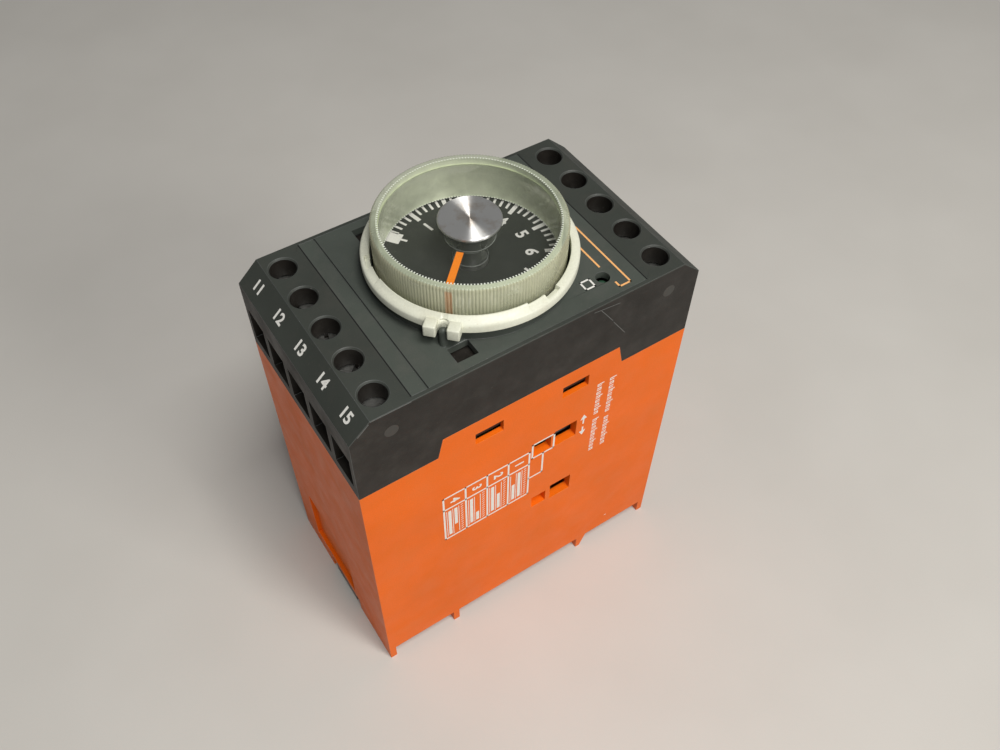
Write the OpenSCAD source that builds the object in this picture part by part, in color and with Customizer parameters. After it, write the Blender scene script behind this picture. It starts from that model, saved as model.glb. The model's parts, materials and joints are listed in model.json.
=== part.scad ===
// DIN rail timer module.
// An orange base and a black terminal cover hold a large dial with a clear knob, a coded
// selector wheel behind the side wall, ten rising-cage terminals and a sprung rail latch.
// X runs along the long side, Y across the module width and Z away from the rail.
// The origin is the centre of the underside, level with the feet.

/* [Housing] */
// Length of the housing from terminal end to terminal end
body_l = 76.5; // [76.5:0.5:78]
// Width of the module along the rail
body_w = 45; // [45:0.5:46]
// Height of the top face above the feet
body_h = 94; // [94:0.5:96]
// Wall thickness of both mouldings
wall_t = 1.6; // [1.4:0.1:1.6]
// Height of the step where the cover overlaps the base in the middle of a long side
step_rise = 5.2; // [4.8:0.1:5.6]

/* [Terminals] */
// Terminals at each end
rows = 5; // [3:1:5]
// Distance between neighbouring terminals
row_pitch = 8.8; // [8.6:0.1:8.9]
// Radius of a screwdriver hole
driver_hole_r = 2.6; // [2.2:0.1:2.7]
// Rise of a clamp cage from open to closed
cage_travel = 4.2; // [3.0:0.1:4.2]

/* [Dial] */
// Outer radius of the knob
knob_r = 18.2; // [17.8:0.1:18.4]
// Height of the knob's flat top above the top face
knob_rise = 11.2; // [10.8:0.1:12]
// Outer radius of the dial ring
ring_r = 20.5; // [20.4:0.1:20.6]
// Height of the dial ring's front rim above the top face
ring_rise = 5.8; // [5.6:0.1:6]
// Angle of the pointer at rest, anticlockwise from +X
pointer_angle = -135; // [-135:1:135]

/* [Rail] */
// Width of the mounting rail
rail_w = 35; // [35]
// Travel of the rail latch
latch_travel = 3; // [2:0.1:3]

/* [Hidden] */
$fn = 64;
EPS = 0.05;
half_l = body_l / 2;
half_w = body_w / 2;

// Housing levels
floor_z = 4.3;
floor_t = 2;
joint_z = body_h - 21;
step_z = joint_z + step_rise;
step_x = 20.4;
step_slant = 1.2;
end_chamfer_x = 4.4;
end_chamfer_z = 4;
inner_w = half_w - wall_t;
inner_l = half_l - wall_t;
shelf_t = 1.6;

// Cover and front plate
plate_t = 1.6;
plate_x0 = -25.5;
plate_x1 = 25.3;
plate_y = 21.7;
plate_z = body_h - plate_t;
ledge_t = 1.6;
ledge_w = 1.5;
block_x = 25;
catch_x = 10.2;
catch_w = 6.4;
catch_z = joint_z - 2;
catch_h = 3.3;
catch_thinning = 0.5;
nose_reach = 0.9;
tongue_x = -12.9;
tongue_w = 5.2;
tongue_y = 15.5;
tongue_z = body_h - 2.2;
tongue_t = 3;

// Terminals, given from the centre of one terminal, with +X outwards
term_x = half_l - 7.65;
cage_x = 3;
cage_y = 3.3;
cage_z = joint_z + 1.6;
cage_wall = 0.9;
cage_floor_t = 1;
cage_top_t = 2;
wire_gap = 4.4;
bar_t = 0.8;
bar_w = 3.6;
bar_z = cage_z + cage_floor_t + wire_gap;
cage_top_z = bar_z + bar_t + 0.2 + cage_top_t;
screw_r = 1.7;
screw_head_r = 2.75;
screw_head_h = 2;
screw_head_z = cage_top_z + cage_travel + 0.1;
pocket_gap = 0.3;
pocket_top_z = screw_head_z + 0.3;
head_gap = 0.25;
window_y = 3.5;
window_h = 8.4;
pin_x = 8.1;

// Boards
top_board_z = body_h - 12;
board_t = 1.6;
top_board_x = 24;
top_board_y = 19.2;
main_board_y = -3.2;
board_back = main_board_y + board_t;
main_board_x = 35;
main_board_z0 = 8;
main_board_z1 = joint_z - 3;
link_pins = 10;
link_pitch = 2.54;

// Dial, knob and potentiometer
dial_t = 1.2;
dial_z = body_h + dial_t;
knob_z0 = dial_z + 0.5;
knob_z1 = body_h + knob_rise;
knob_wall = 1.3;
hub_r = 4.8;
pointer_r = 7.8;
hub_h = 3.3;
shaft_hub_r = 3.3;
disc_r = 6;
disc_t = 0.5;
shaft_r = 2;
shaft_top = knob_z1 - 2.8;
ring_wall = 1.8;
ring_gap = 2.8;
ring_edge_h = 4.8;
ring_side_h = 5;
ring_mid_h = 5.3;
ring_notch_h = 4.1;
// Half angles, from the key, of the front rim and of the notches on both sides of it
ring_front = 45;
ring_notch = [57, 67];
ring_notch_r = 19.7;
boss_r = 19.3;
boss_h = 3.6;
key_angle = -135.4;
key_r = 20.9;
key_slot = 0.93;
tab_r = 22.3;
tab_w = 2.3;
tab_gap = 2;
key_pin_r = 0.75;
key_pin_h = 4.2;
pot_r = 8.2;
pot_wall = 0.6;
pot_z1 = plate_z - 0.9;
collar_r = 3.4;
run_gap = 0.05;
lamp_x = 18.6;
lamp_y = -16.8;
lamp_r = 1.4;
lamp_z = body_h - 2.6;

// Function selector wheel, with its axle along X
wheel_r = 7.3;
drum_r = 7.1;
collar_depth = 1.9;
collar_rim = 0.8;
blind_depth = 2.4;
wheel_y = -half_w + collar_depth + 0.2 + wheel_r;
wheel_teeth = 20;
wheel_x0 = 0.6;
wheel_mid = 5.55;
wheel_x1 = 11.8;
axle_r = 1.5;
wheel_z = 57.4;
// Windows in the side wall: low X, high X, low Z, high Z. The last one is blind.
label_window = [0.8, 5.1, 55.3, 59.6];
wheel_window = [6, 11.6, 54.9, 60.2];
spare_window = [6, 11.6, 33.8, 39.2];
blind_window = [1, 4.8, 34.4, 38.3];

// Rail seat and latch
rail_x0 = -18.8;
rail_x1 = rail_x0 + rail_w + 0.3;
latch_rib_t = 1.7;
hook_rib_t = 1.2;
hook_lip = 1.6;
hook_y = 16;
latch_w = 5.15;
latch_z0 = 0.9;
latch_z1 = 4.15;
slot_x0 = -33.2;
slot_x1 = -22.6;
peg_x1 = -31.8;
spring_r = 1.05;
spring_wire_r = 0.22;
spring_turns = 7;

// Relays
relay_x = [9, 25];
relay_z = 12;
relay_l = 25;
relay_h = 16;
relay_w = 6.5;
coil_y = 7.6;
pivot_y = 13.2;
pivot_z = relay_z + 19.6;

// Terminals 1 to rows are at the -X end, the rest at the +X end, each from +Y to -Y
function term_side(k) = k <= rows ? -1 : 1;
function term_y(k) = ((rows - 1) / 2 - (k - 1) % rows) * row_pitch;

// A box between two opposite corners
module block(low, high) {
    translate(low) cube(high - low);
}

module rod_x(x0, x1, y, z, r) {
    translate([x0, y, z]) rotate([0, 90, 0]) cylinder(h = x1 - x0, r = r);
}

module rod_y(x, y0, y1, z, r) {
    translate([x, y0, z]) rotate([-90, 0, 0]) cylinder(h = y1 - y0, r = r);
}

module rod_z(x, y, z0, z1, r) {
    translate([x, y, z0]) cylinder(h = z1 - z0, r = r);
}

// An outline in the XZ plane, drawn along Y
module prism_y(points, y0, y1) {
    translate([0, y1, 0]) rotate([90, 0, 0]) linear_extrude(y1 - y0) polygon(points);
}

// Moves its children to terminal k, with +X pointing out of the housing
module at_terminal(k) {
    mirror([term_side(k) < 0 ? 1 : 0, 0, 0])
        translate([term_x, term_y(k), 0])
            children();
}

// ---- Housing ----

module base_outline() {
    prism_y([
        [-half_l, floor_z], [half_l, floor_z], [half_l, joint_z], [step_x + step_slant, joint_z],
        [step_x, step_z], [-step_x, step_z], [-step_x - step_slant, joint_z], [-half_l, joint_z]
    ], -half_w, half_w);
}

// Boxes as wide as the windows in the side wall, grown by a margin
module side_windows(windows, margin, y0, y1) {
    for (w = windows)
        block([w[0] - margin, y0, w[2] - margin], [w[1] + margin, y1, w[3] + margin]);
}

// Windows for the snap hooks, in a wall that is thinner there
module catch_windows() {
    for (side = [-1, 1])
        for (x = [-catch_x, catch_x]) {
            translate([x, side * half_w, catch_z + catch_h / 2])
                cube([catch_w, 2 * wall_t + 1, catch_h], center = true);
            translate([x, side * inner_w, catch_z + catch_h / 2])
                cube([catch_w + 0.6, 2 * catch_thinning, catch_h + 2.4], center = true);
        }
}

// Ribs and lips under the floor that hold the rail and guide the latch
module rail_seat() {
    for (side = [-1, 1])
        block([side * half_l - (side > 0 ? wall_t : 0), -half_w, 0],
              [side * half_l + (side > 0 ? 0 : wall_t), half_w, floor_z + EPS]);
    block([rail_x0 - latch_rib_t, -half_w, 0], [rail_x0 - 0.1, half_w, floor_z + EPS]);
    prism_y([
        [rail_x1, 0], [rail_x1 + hook_rib_t, 0], [rail_x1 + hook_rib_t + 1.6, floor_z + EPS],
        [rail_x1, floor_z + EPS]
    ], -half_w, half_w);
    prism_y([
        [rail_x1 + EPS, 0], [rail_x1 + EPS, 2.7], [rail_x1 - hook_lip, 2.7], [rail_x1 - hook_lip, 1.4],
        [rail_x1 - hook_lip + 1.2, 0]
    ], -hook_y, hook_y);
    for (side = [-1, 1]) {
        guide = side * (latch_w + 0.15);
        outer = side * (latch_w + 1.75);
        lip = side * (latch_w - 0.75);
        block([-inner_l + 1, min(guide, outer), 0], [-22, max(guide, outer), floor_z + EPS]);
        block([-inner_l + 1, min(guide, lip) - EPS, 0], [-22, max(guide, lip) + EPS, 0.7]);
    }
    block([slot_x0 + 0.2, -1.2, 1.2], [peg_x1, 1.2, floor_z + EPS]);
}

module housing_base() {
    color("darkorange") {
        difference() {
            union() {
                difference() {
                    base_outline();
                    block([-inner_l, -inner_w, floor_z + floor_t], [inner_l, inner_w, body_h]);
                    for (side = [-1, 1])
                        block([side * half_l - 5, -half_w - 1, joint_z],
                              [side * half_l + 5, half_w + 1, body_h]);
                }
                rail_seat();
                // Collars that make the side windows deep, and the back of the blind one
                side_windows([label_window, wheel_window, spare_window, blind_window], collar_rim,
                             -half_w + EPS, -half_w + collar_depth);
                side_windows([blind_window], collar_rim, -half_w + EPS, -half_w + blind_depth + 0.8);
                // Shelves under the terminals, and the boss behind the recess in the -X end
                for (side = [-1, 1])
                    block([side > 0 ? block_x + 0.5 : -inner_l - EPS, -inner_w - EPS, joint_z - shelf_t],
                          [side > 0 ? inner_l + EPS : -block_x - 0.5, inner_w + EPS, joint_z]);
                block([-inner_l - EPS, -7, floor_z + 1], [-inner_l + 1, 16, 25.5]);
                // Slots for the upright board
                for (side = [-1, 1])
                    for (y = [main_board_y - 1.2, board_back + 0.1])
                        translate([side * (inner_l - 0.9), y + 0.55, (main_board_z1 + floor_z) / 2])
                            cube([1.9, 1.1, main_board_z1 - floor_z], center = true);
            }
            side_windows([label_window, wheel_window, spare_window], 0, -half_w - 1, -half_w + collar_depth + 1);
            side_windows([blind_window], 0, -half_w - 1, -half_w + blind_depth);
            catch_windows();
            // Latch opening in the -X end wall, and the gap in the latch rib
            block([-half_l - 1, -7.2, -1], [-inner_l + EPS, 7.2, floor_z]);
            block([rail_x0 - latch_rib_t - 1, -latch_w - 0.15, -1], [rail_x0, latch_w + 0.15, floor_z]);
            end_recess();
        }
    }
}

// Shallow finger recess in the -X end, its edges sloped by a wedge at the top
module end_recess() {
    recess_d = 1;
    block([-half_l - 1, -5.5, 6], [-half_l + recess_d, 14.5, 22]);
    prism_y([
        [-half_l - 1, 22 - EPS], [-half_l + recess_d, 22 - EPS], [-half_l, 24], [-half_l - 1, 24]
    ], -5.5, 14.5);
}

// ---- Cover ----

module terminal_pocket() {
    block([-cage_x - pocket_gap, -cage_y - pocket_gap, joint_z - 1],
          [cage_x + pocket_gap, cage_y + pocket_gap, pocket_top_z]);
    rod_z(0, 0, pocket_top_z - EPS, screw_head_z + screw_head_h + head_gap, screw_head_r + head_gap);
    rod_z(0, 0, screw_head_z + screw_head_h, body_h + 1, driver_hole_r);
    translate([0, 0, body_h - 0.3]) cylinder(h = 0.4, r1 = driver_hole_r, r2 = driver_hole_r + 0.4);
    block([cage_x, -window_y, cage_z + cage_floor_t], [12, window_y, cage_z + cage_floor_t + window_h]);
    block([-cage_x - 4, -bar_w / 2 - 0.1, bar_z - 0.15],
          [-cage_x, bar_w / 2 + 0.1, bar_z + bar_t + 0.15]);
}

// A springy tongue with a nose that catches in a window of the base, at the +Y side
module snap_hook() {
    tongue_y1 = inner_w - 0.1;
    tongue_y0 = tongue_y1 - 1.2;
    block([-3, tongue_y0, catch_z - 0.4], [3, tongue_y1, step_z + 4]);
    block([-3, tongue_y0, step_z + 0.4], [3, inner_w + EPS, step_z + 4]);
    translate([-3, 0, 0])
        rotate([90, 0, 90])
            linear_extrude(6)
                polygon([
                    [tongue_y1 - EPS, catch_z - 0.4], [tongue_y1 + nose_reach, catch_z + 1.4],
                    [tongue_y1 + nose_reach, catch_z + catch_h - 0.2], [tongue_y1 - EPS, catch_z + catch_h - 0.2]
                ]);
}

module top_cover() {
    color("dimgray") {
        difference() {
            prism_y([
                [-half_l, joint_z], [-step_x - step_slant, joint_z], [-step_x, step_z],
                [step_x, step_z], [step_x + step_slant, joint_z], [half_l, joint_z],
                [half_l, body_h - end_chamfer_z], [half_l - end_chamfer_x, body_h],
                [-half_l + end_chamfer_x, body_h], [-half_l, body_h - end_chamfer_z]
            ], -half_w, half_w);
            block([-block_x, -inner_w, joint_z - 1], [block_x, inner_w, plate_z - ledge_t]);
            block([plate_x0, -plate_y, plate_z], [plate_x1, plate_y, body_h + 1]);
            block([plate_x0 + ledge_w, -plate_y + ledge_w, joint_z],
                  [plate_x1 - ledge_w, plate_y - ledge_w, body_h]);
            for (k = [1 : 2 * rows]) at_terminal(k) terminal_pocket();
        }
        for (side = [0, 1])
            mirror([0, side, 0]) {
                for (x = [-catch_x, catch_x]) translate([x, 0, 0]) snap_hook();
                // Tongue behind the square window of the front plate
                block([tongue_x - tongue_w / 2, tongue_y, tongue_z - tongue_t],
                      [tongue_x + tongue_w / 2, inner_w + EPS, tongue_z]);
                // Ribs that hold the top board down and carry the front plate
                for (x = [-3.5, 3.5])
                    block([x - 1, top_board_y - 1.6, top_board_z + board_t], [x + 1, inner_w + EPS, plate_z]);
            }
    }
}

module front_plate() {
    color("darkslategray") {
        difference() {
            block([plate_x0, -plate_y, plate_z], [plate_x1, plate_y, body_h]);
            rod_z(0, 0, plate_z - 1, body_h + 1, collar_r + 0.1);
            rod_z(lamp_x, lamp_y, plate_z - 1, body_h + 1, lamp_r);
            // Square test windows and the long moulded groove
            for (y = [-17.9, 17.9])
                translate([tongue_x, y, body_h]) cube([4.3, 3.6, 4 * plate_t], center = true);
            block([-22.35, -plate_y - 1, body_h - 0.4], [-22.05, plate_y + 1, body_h + 1]);
        }
        // Boss that carries the dial ring
        difference() {
            rod_z(0, 0, body_h - EPS, body_h + boss_h, boss_r);
            rod_z(0, 0, body_h - 1, body_h + boss_h + 1, knob_r + 0.35);
        }
        // Keying pin for the dial ring
        rotate([0, 0, key_angle]) {
            rod_z(key_r, 0, body_h - EPS, body_h + key_pin_h - key_pin_r, key_pin_r);
            translate([key_r, 0, body_h + key_pin_h - key_pin_r]) sphere(r = key_pin_r);
        }
    }
}

// ---- Dial and knob ----

module dial_plate() {
    color("darkslategray")
        difference() {
            rod_z(0, 0, body_h, dial_z, knob_r + 0.2);
            rod_z(0, 0, body_h - 1, dial_z + 1, collar_r + 0.1);
        }
}

// Cuts the dial ring down to a height between two angles, measured from the key on both sides
module ring_cut(angles, low_z, outer_r) {
    for (start = [angles[0], -angles[1]])
        rotate([0, 0, key_angle + start])
            rotate_extrude(angle = angles[1] - angles[0])
                translate([ring_r - ring_wall - 1, body_h + low_z])
                    square([outer_r - ring_r + ring_wall + 1, 3]);
}

module dial_ring() {
    inner_r = ring_r - ring_wall;
    z0 = body_h + ring_gap;
    seat = body_h + boss_h;
    edge = body_h + ring_edge_h;
    rim = body_h + ring_rise;
    color("ivory") {
        difference() {
            rotate_extrude()
                polygon([
                    [inner_r, seat], [boss_r + run_gap, seat], [boss_r + run_gap, z0], [ring_r - 0.2, z0],
                    [ring_r, z0 + 0.2], [ring_r, edge - 0.4], [ring_r - 0.4, edge], [inner_r + 0.3, rim],
                    [inner_r, rim]
                ]);
            ring_cut([ring_front, 183], ring_mid_h, ring_r + 1);
            ring_cut(ring_notch, ring_notch_h, ring_notch_r);
            ring_cut([ring_notch[1] - 1, 185], ring_side_h, ring_r + 2);
            // Slot for the keying pin
            rotate([0, 0, key_angle])
                block([key_r - key_slot, -key_slot, z0 - 1], [ring_r + 1, key_slot, rim + 1]);
        }
        // Two lugs that straddle the keying pin
        rotate([0, 0, key_angle])
            for (side = [-1, 1])
                translate([0, side * (tab_gap + tab_w) / 2, 0])
                    block([ring_r - 0.6, -tab_w / 2, z0], [tab_r, tab_w / 2, edge + 0.6]);
    }
}

module knob() {
    inner_r = knob_r - knob_wall;
    under = knob_z1 - knob_wall;
    color([0.8, 0.85, 0.75, 0.5])
        difference() {
            rotate_extrude()
                polygon([
                    [0, knob_z0], [shaft_hub_r, knob_z0], [shaft_hub_r, under - hub_h],
                    [hub_r, under - hub_h], [hub_r, under], [inner_r, under], [inner_r, knob_z0],
                    [knob_r, knob_z0], [knob_r, knob_z1 - 0.5], [knob_r - 0.5, knob_z1],
                    [disc_r, knob_z1], [disc_r, knob_z1 - disc_t], [0, knob_z1 - disc_t]
                ]);
            rod_z(0, 0, knob_z0 - 1, shaft_top, shaft_r);
        }
}

module knob_disc() {
    color("silver") rod_z(0, 0, knob_z1 - disc_t, knob_z1, disc_r);
}

// Coloured line under the knob's top and down the inside of its skirt
module pointer_line() {
    line_w = 1.3;
    line_t = 0.25;
    under = knob_z1 - knob_wall;
    edge_r = knob_r - knob_wall - 0.02;
    color("orange")
        rotate([0, 0, pointer_angle]) {
            block([pointer_r, -line_w / 2, under - line_t], [edge_r, line_w / 2, under]);
            block([edge_r - line_t, -line_w / 2, knob_z0 + 0.4], [edge_r, line_w / 2, under]);
        }
}

module pot_case() {
    z0 = top_board_z + board_t;
    color("gray")
        rotate_extrude()
            polygon([
                [pot_r - pot_wall, z0], [pot_r, z0], [pot_r, pot_z1], [collar_r, pot_z1],
                [collar_r, dial_z - 0.3], [shaft_r + run_gap, dial_z - 0.3],
                [shaft_r + run_gap, pot_z1 - pot_wall], [pot_r - pot_wall, pot_z1 - pot_wall]
            ]);
}

module pot_track() {
    z0 = top_board_z + board_t;
    color("saddlebrown")
        difference() {
            rod_z(0, 0, z0, z0 + 1.2, pot_r - pot_wall);
            rod_z(0, 0, z0 - 1, z0 + 2, shaft_r + 0.4);
        }
}

module pot_shaft() {
    z0 = top_board_z + board_t;
    color("lightgray") {
        rod_z(0, 0, z0 + 0.4, shaft_top, shaft_r);
        rod_z(0, 0, z0 + 1.7, z0 + 3.6, pot_r - pot_wall - 0.4);
        rotate([0, 0, pointer_angle])
            block([3.6, -1.2, z0 + 1.25], [6.4, 1.2, z0 + 1.75]);
    }
}

module indicator_lamp() {
    z0 = top_board_z + board_t;
    color("palegreen") {
        rod_z(lamp_x, lamp_y, z0, lamp_z, lamp_r - 0.15);
        rod_z(lamp_x, lamp_y, z0, z0 + 1, lamp_r + 0.4);
        translate([lamp_x, lamp_y, lamp_z]) sphere(r = lamp_r - 0.15);
    }
}

// ---- Boards ----

module top_board() {
    color("darkgreen")
        difference() {
            block([-top_board_x, -top_board_y, top_board_z], [top_board_x, top_board_y, top_board_z + board_t]);
            for (k = [1 : 2 * rows])
                at_terminal(k)
                    block([-pin_x, -1, top_board_z - 1], [-pin_x + bar_t, 1, top_board_z + board_t + 1]);
        }
}

module main_board() {
    color("darkgreen")
        block([-main_board_x, main_board_y, main_board_z0], [main_board_x, board_back, main_board_z1]);
}

// Row of pins between the two boards
module board_link() {
    first = -(link_pins - 1) / 2 * link_pitch;
    strip_y = board_back + 1.25;
    color("black") {
        block([first - 1.3, board_back, main_board_z1 - 4], [-first + 1.3, board_back + 2.5, main_board_z1 - 1.5]);
        for (k = [0 : link_pins - 1])
            rod_z(first + k * link_pitch, strip_y, main_board_z1 - 2, top_board_z, 0.32);
    }
}

// ---- Function selector ----

module toothed_disc(thickness) {
    step = 360 / wheel_teeth;
    linear_extrude(thickness)
        polygon([
            for (k = [0 : wheel_teeth - 1])
                for (corner = [[0, wheel_r], [0.42, wheel_r], [0.58, wheel_r - 1.3], [0.84, wheel_r - 1.3]])
                    corner[1] * [cos((k + corner[0]) * step), sin((k + corner[0]) * step)]
        ]);
}

// Label drum and toothed rim on one axle
module function_wheel() {
    color("dimgray") {
        rod_x(wheel_x0, wheel_mid + EPS, wheel_y, wheel_z, drum_r);
        translate([wheel_mid, wheel_y, wheel_z]) rotate([90, 0, 90]) toothed_disc(wheel_x1 - wheel_mid);
        rod_x(wheel_x0 - 1.8, wheel_x1 + 1.8, wheel_y, wheel_z, axle_r);
    }
}

// Two cheeks with bearing holes on a foot that is soldered to the main board
module function_wheel_frame() {
    cheek = 1.6;
    foot_y = main_board_y - 1;
    z = wheel_z;
    color("slategray")
        difference() {
            union() {
                block([wheel_x0 - 0.2 - cheek, foot_y, z - 7], [wheel_x1 + 0.2 + cheek, main_board_y, z + 7]);
                for (x = [wheel_x0 - 0.2 - cheek, wheel_x1 + 0.2])
                    block([x, wheel_y - 3, z - 4.5], [x + cheek, main_board_y, z + 4.5]);
            }
            rod_x(wheel_x0 - 3, wheel_x1 + 3, wheel_y, z, axle_r + run_gap);
        }
}

// ---- Power parts on the back of the main board ----

core_x = [-34, -4];
core_y = [5, 14.5];
core_z = [12, 37];
leg_w = 10;
yoke_w = 5;

module transformer_core() {
    mid = (core_x[0] + core_x[1]) / 2;
    color("silver")
        difference() {
            block([core_x[0], core_y[0], core_z[0]], [core_x[1], core_y[1], core_z[1]]);
            for (side = [-1, 1])
                translate([mid + side * (leg_w / 2 + yoke_w / 2), 0, 0])
                    block([-yoke_w / 2, core_y[0] - 1, core_z[0] + yoke_w],
                          [yoke_w / 2, core_y[1] + 1, core_z[1] - yoke_w]);
        }
}

// Rectangular sleeve round the middle leg of the core
module leg_sleeve(inner, outer, z0, z1) {
    mid = (core_x[0] + core_x[1]) / 2;
    difference() {
        block([mid - leg_w / 2 - outer, core_y[0] - outer, z0], [mid + leg_w / 2 + outer, core_y[1] + outer, z1]);
        block([mid - leg_w / 2 - inner, core_y[0] - inner, z0 - 1], [mid + leg_w / 2 + inner, core_y[1] + inner, z1 + 1]);
    }
}

module transformer_bobbin() {
    z0 = core_z[0] + yoke_w + 0.1;
    z1 = core_z[1] - yoke_w - 0.1;
    color("black") {
        leg_sleeve(0.1, 0.9, z0, z1);
        leg_sleeve(0.1, 4.8, z0, z0 + 0.8);
        leg_sleeve(0.1, 4.8, z1 - 0.8, z1);
        // Feet on the main board
        for (z = [z0, z1 - 0.8])
            block([-26, board_back, z], [-12, core_y[0] - 4.7, z + 0.8]);
    }
}

module transformer_winding() {
    color("goldenrod") leg_sleeve(0.9, 4.4, core_z[0] + yoke_w + 0.9, core_z[1] - yoke_w - 0.9);
}

// Each relay part is drawn about the relay's own middle in X
module relay_base() {
    color("black") {
        block([-relay_w + 0.65, board_back, relay_z + 0.65],
              [relay_w - 0.65, board_back + 3, relay_z + relay_l - 0.65]);
        // Fixed contacts on both sides of the armature's tip
        block([-1.2, board_back + 3 - EPS, pivot_z - 2.2], [1.2, 4.2, pivot_z - 1.2]);
        block([-1.2, board_back + 3 - EPS, pivot_z + 1.85], [1.2, 4.2, pivot_z + 3]);
    }
}

module relay_coil() {
    color("peru") {
        difference() {
            union() {
                rod_z(0, coil_y, relay_z + 2.2, relay_z + 16.6, 4);
                rod_z(0, coil_y, relay_z + 2.2, relay_z + 3, 4.4);
                rod_z(0, coil_y, relay_z + 15.8, relay_z + 16.6, 4.4);
            }
            rod_z(0, coil_y, relay_z, relay_z + 20, 1.8);
        }
    }
}

module relay_yoke() {
    color("silver") {
        rod_z(0, coil_y, relay_z + 1.5, relay_z + 19.2, 1.8);
        block([-4.5, board_back + 3, relay_z + 0.9], [4.5, pivot_y, relay_z + 2.1]);
        block([-4.5, pivot_y - 1, relay_z + 0.9], [4.5, pivot_y, pivot_z - 0.15]);
    }
}

module relay_armature() {
    color("silver") {
        block([-4.2, 2.2, pivot_z], [4.2, pivot_y, pivot_z + 1.2]);
        rod_z(0, 3.2, pivot_z - 0.6, pivot_z + 1.8, 0.7);
    }
}

module relay_case() {
    color([0.3, 0.4, 0.6])
        difference() {
            block([-relay_w, board_back + 0.1, relay_z], [relay_w, board_back + relay_h, relay_z + relay_l]);
            block([-relay_w + 0.6, board_back - 1, relay_z + 0.6],
                  [relay_w - 0.6, board_back + relay_h - 0.6, relay_z + relay_l - 0.6]);
        }
}

module mains_capacitor() {
    color("gold") block([-33, board_back, 44], [-16, board_back + 13, 56]);
}

module smoothing_capacitors() {
    color("navy")
        for (x = [-8, 4])
            rod_y(x, board_back, board_back + 16, 50, 5);
}

module varistor() {
    color("royalblue") rod_x(18, 21, board_back + 5, 48, 5);
}

// ---- Logic parts on the front of the main board ----

module logic_chips() {
    color("black")
        for (z = [20, 36, 52]) {
            block([-29.6, main_board_y - 4, z], [-10.4, main_board_y - 0.6, z + 6.4]);
            for (k = [0 : 7])
                for (leg_z = [z - 0.5, z + 6.35])
                    block([-28.8 + k * link_pitch - 0.25, main_board_y - 2.2, leg_z],
                          [-28.8 + k * link_pitch + 0.25, main_board_y, leg_z + 0.55]);
        }
}

module resistors() {
    color("tan")
        for (k = [0 : 7]) {
            z = 14 + 6 * k;
            rod_x(20, 26.4, main_board_y - 1.2, z, 1.15);
            rod_x(18.4, 28, main_board_y - 1.2, z, 0.3);
            for (x = [18.4, 28]) block([x - 0.4, main_board_y - 1.6, z - 0.4], [x + 0.4, main_board_y, z + 0.4]);
        }
}

// ---- Terminals ----

module contact_bars() {
    color("khaki")
        for (k = [1 : 2 * rows])
            at_terminal(k) {
                block([-pin_x, -bar_w / 2, bar_z], [cage_x - 0.2, bar_w / 2, bar_z + bar_t]);
                block([-pin_x, -1, bar_z], [-pin_x + bar_t, 1, top_board_z + board_t + 1.4]);
            }
}

module terminal_screw(k) {
    color("silver")
        at_terminal(k)
            difference() {
                union() {
                    rod_z(0, 0, bar_z + bar_t + 0.05, screw_head_z + EPS, screw_r);
                    rod_z(0, 0, screw_head_z, screw_head_z + screw_head_h, screw_head_r);
                }
                rotate([0, 0, 35 * k])
                    block([-4, -0.4, screw_head_z + 0.9], [4, 0.4, screw_head_z + 3]);
            }
}

module clamp_cage(k) {
    color("silver")
        at_terminal(k)
            difference() {
                block([-cage_x, -cage_y, cage_z], [cage_x, cage_y, cage_top_z]);
                block([-cage_x - 1, -cage_y + cage_wall, cage_z + cage_floor_t],
                      [cage_x + 1, cage_y - cage_wall, cage_top_z - cage_top_t]);
                rod_z(0, 0, cage_z + 3, cage_top_z + 1, screw_r + run_gap);
            }
}

// ---- Rail latch ----

module rail_latch() {
    color("gray") {
        difference() {
            block([-half_l + 0.1, -latch_w, latch_z0], [rail_x0 - 0.2, latch_w, latch_z1]);
            block([slot_x0, -1.6, 0], [slot_x1, 1.6, 5]);
            block([-36.6, -2, 0], [-35.2, 2, 5]);
        }
        prism_y([
            [rail_x0 - 0.2 - EPS, latch_z0], [rail_x0 + 0.6, latch_z0], [rail_x0 + 1.4, 2],
            [rail_x0 + 1.4, 2.9], [rail_x0 - 0.2 - EPS, 2.9]
        ], -latch_w + 0.3, latch_w - 0.3);
    }
}

// A coil spring along X, between the peg on the base and the end of the latch's slot
module latch_spring() {
    ring = 6;
    per_turn = 14;
    steps = spring_turns * per_turn;
    x0 = peg_x1 + spring_wire_r;
    x1 = slot_x1 - spring_wire_r;
    mid_z = (latch_z0 + latch_z1) / 2;
    points = [
        for (s = [0 : steps])
            for (c = [0 : ring - 1])
                let (turn = s * 360 / per_turn, side = c * 360 / ring, r = spring_r + spring_wire_r * cos(side))
                    [x0 + (x1 - x0) * s / steps + spring_wire_r * sin(side), r * cos(turn), mid_z + r * sin(turn)]
    ];
    faces = concat(
        [[for (c = [0 : ring - 1]) c]],
        [
            for (s = [0 : steps - 1])
                for (c = [0 : ring - 1])
                    let (a = s * ring + c, b = s * ring + (c + 1) % ring)
                        [a, a + ring, b + ring, b]
        ],
        [[for (c = [ring - 1 : -1 : 0]) steps * ring + c]]
    );
    color("lightgray") polyhedron(points, faces, convexity = 10);
}

housing_base();
top_cover();
front_plate();
dial_plate();
dial_ring();
knob();
knob_disc();
pointer_line();
pot_case();
pot_track();
pot_shaft();
indicator_lamp();
top_board();
main_board();
board_link();
function_wheel();
function_wheel_frame();
transformer_core();
transformer_bobbin();
transformer_winding();
for (k = [1, 2])
    translate([relay_x[k - 1], 0, 0]) {
        relay_base();
        relay_coil();
        relay_yoke();
        relay_armature();
        relay_case();
    }
mains_capacitor();
smoothing_capacitors();
varistor();
logic_chips();
resistors();
contact_bars();
rail_latch();
latch_spring();
for (k = [1 : 2 * rows]) {
    terminal_screw(k);
    clamp_cage(k);
}
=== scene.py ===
import json
import math

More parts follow.
